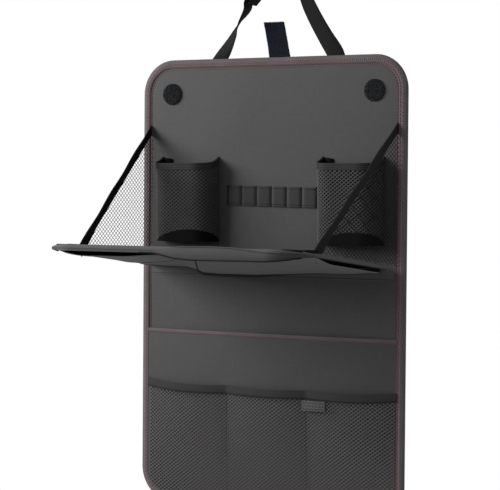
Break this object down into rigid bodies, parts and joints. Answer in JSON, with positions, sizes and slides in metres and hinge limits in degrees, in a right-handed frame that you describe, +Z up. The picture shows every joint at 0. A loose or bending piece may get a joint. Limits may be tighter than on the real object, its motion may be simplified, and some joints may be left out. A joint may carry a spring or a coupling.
{
  "type": "car seat cover",
  "caption": "Seat-back cover with a fold-down tray held by net gussets, cup pockets, pen loops, a flat pocket, net pouches, and webbing straps that go round a headrest.",
  "frame": {"origin": "centre of the lining's flat back face, which lies against the seat", "axes": "+Z up, -Y to the front where the tray and the pockets are, +X to the right as seen from the front"},
  "size_m": [0.41, 0.2937, 0.7939],
  "materials": {
    "leatherette": "matt, fine grain",
    "binding_tape": "matt woven tape with reddish stitches",
    "lining_cloth": "matt non-woven cloth",
    "board": "plain board",
    "netting": "matt knitted net",
    "webbing": "matt woven webbing",
    "hook_and_loop": "matt fuzzy pile",
    "black_plastic": "satin"
  },
  "bodies": {
    "back": {"front_sheet": "leatherette", "stiffener_board": "board", "rear_lining": "lining_cloth", "edge_binding": "binding_tape", "left_loop_dot": "hook_and_loop", "right_loop_dot": "hook_and_loop", "pen_loop_band": "leatherette", "left_cup_net": "netting", "left_cup_band": "webbing", "left_cup_base": "netting", "right_cup_net": "netting", "right_cup_band": "webbing", "right_cup_base": "netting", "flat_pocket_front": "leatherette", "flat_pocket_binding": "binding_tape", "net_pocket": "netting", "net_pocket_hem": "leatherette", "net_pocket_tab": "binding_tape", "left_gusset_net": "netting", "left_gusset_tape": "webbing", "right_gusset_net": "netting", "right_gusset_tape": "webbing", "left_strap": "webbing", "right_strap": "webbing", "strap_ring": "black_plastic", "centre_hook_tab": "hook_and_loop", "hinge_tape": "leatherette"},
    "tray": {"tray_top_cover": "leatherette", "tray_board": "board", "tray_bottom_cover": "leatherette", "tray_edge_binding": "binding_tape", "tray_sleeve": "leatherette", "tray_sleeve_hem": "binding_tape", "tray_front_lip": "leatherette", "left_hook_dot": "hook_and_loop", "right_hook_dot": "hook_and_loop", "left_foot_tape": "webbing", "right_foot_tape": "webbing"}
  },
  "joints": [
    {"name": "tray_fold", "type": "hinge", "parent": "back", "child": "tray", "pos_m": [0, -0.01885, 0.0286], "axis": [-1, 0, 0], "range_deg": [0, 85], "deforming": ["left_gusset_net", "right_gusset_net", "left_gusset_tape", "right_gusset_tape", "left_cup_net", "left_cup_band", "left_cup_base", "right_cup_net", "right_cup_band", "right_cup_base", "hinge_tape"]}
  ]
}
